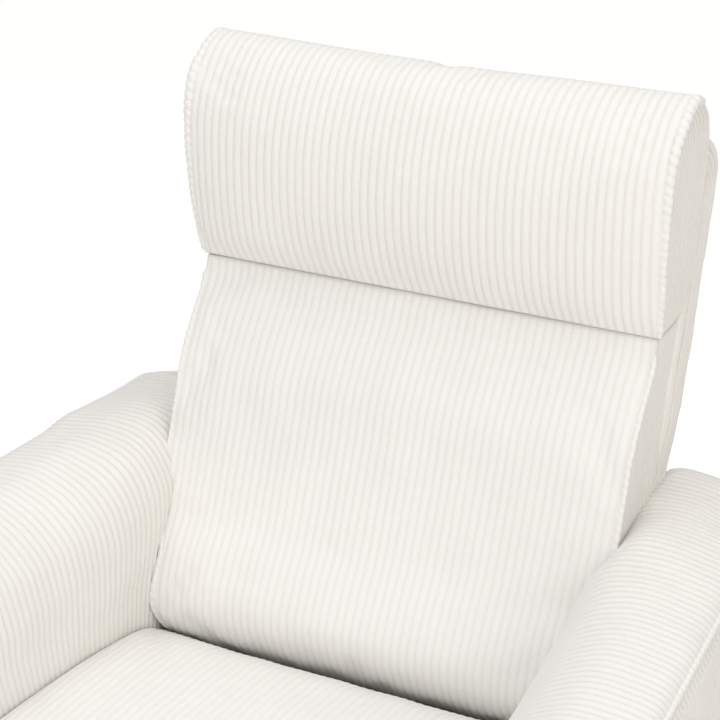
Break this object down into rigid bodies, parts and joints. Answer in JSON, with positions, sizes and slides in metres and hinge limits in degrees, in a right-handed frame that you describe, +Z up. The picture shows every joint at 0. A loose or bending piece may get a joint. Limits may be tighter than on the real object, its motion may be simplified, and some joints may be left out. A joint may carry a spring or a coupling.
{
  "type": "recliner armchair",
  "caption": "Push-back recliner armchair in wide-rib corduroy with a sewn headrest roll, padded flared arms, a reclining back and a fold-out footrest.",
  "frame": {"origin": "floor point under the middle of the chair's bounding box, closed and upright", "axes": "+X to the sitter's left-hand side seen from the front (chair's right in the view), +Y towards the rear, +Z up; the sitter faces -Y"},
  "size_m": [0.8532, 0.8038, 1.0314],
  "materials": {
    "corduroy": "wide-rib corduroy, soft cut pile",
    "plywood": "raw plywood",
    "painted_steel": "satin black powder coat",
    "zinc_steel": "zinc plated",
    "webbing": "woven elastic webbing",
    "foot_plastic": "moulded, matt"
  },
  "bodies": {
    "chassis": {"arm_left": "corduroy", "arm_right": "corduroy", "arm_frame_left": "plywood", "arm_frame_right": "plywood", "foot_front_left": "foot_plastic", "foot_front_right": "foot_plastic", "foot_rear_left": "foot_plastic", "foot_rear_right": "foot_plastic", "front_stretcher": "plywood", "rear_stretcher": "plywood", "rear_panel": "corduroy", "side_plate_left": "painted_steel", "side_plate_right": "painted_steel", "recline_pin_left": "zinc_steel", "recline_pin_right": "zinc_steel", "drive_pin_left": "zinc_steel", "drive_pin_right": "zinc_steel", "seat_rail_left": "plywood", "seat_rail_right": "plywood", "seat_front_rail": "plywood", "seat_rear_rail": "plywood", "sinuous_spring_1": "zinc_steel", "sinuous_spring_2": "zinc_steel", "sinuous_spring_3": "zinc_steel", "sinuous_spring_4": "zinc_steel", "seat_cushion": "corduroy", "seat_border": "corduroy"},
    "back": {"back_post_left": "plywood", "back_post_right": "plywood", "back_top_rail": "plywood", "back_mid_rail": "plywood", "back_bottom_rail": "plywood", "back_webbing_1": "webbing", "back_webbing_2": "webbing", "back_webbing_3": "webbing", "back_bracket_left": "painted_steel", "back_bracket_right": "painted_steel", "back_cushion": "corduroy", "headrest": "corduroy", "back_cover": "corduroy", "back_skirt": "corduroy"},
    "drive_links": {"drive_link_left": "painted_steel", "drive_link_right": "painted_steel", "sync_tube": "painted_steel", "elbow_pin_left": "zinc_steel", "elbow_pin_right": "zinc_steel"},
    "ottoman_links": {"ottoman_link_left": "painted_steel", "ottoman_link_right": "painted_steel", "cross_bar": "painted_steel", "footrest_pin_left": "zinc_steel", "footrest_pin_right": "zinc_steel"},
    "footrest": {"footrest_board": "plywood", "footrest_pad": "corduroy", "footrest_bracket_left": "painted_steel", "footrest_bracket_right": "painted_steel"}
  },
  "joints": [
    {"name": "back_recline", "type": "hinge", "parent": "chassis", "child": "back", "pos_m": [0, 0.20128, 0.36], "axis": [-1, 0, 0], "range_deg": [0, 35]},
    {"name": "footrest_drive", "type": "hinge", "parent": "chassis", "child": "drive_links", "pos_m": [0, -0.30172, 0.3087], "axis": [-1, 0, 0], "range_deg": [0, 90]},
    {"name": "footrest_extend", "type": "hinge", "parent": "drive_links", "child": "ottoman_links", "pos_m": [0, -0.27047, 0.13143], "axis": [-1, 0, 0], "range_deg": [-150.01, 0]},
    {"name": "footrest_turn", "type": "hinge", "parent": "ottoman_links", "child": "footrest", "pos_m": [0, -0.30172, 0.3087], "axis": [-1, 0, 0], "range_deg": [0, 150.01]}
  ],
  "couplings": [
    {"joint": "footrest_extend", "follows": "footrest_drive", "ratio": -1.6667},
    {"joint": "footrest_turn", "follows": "footrest_drive", "ratio": 1.6667}
  ]
}
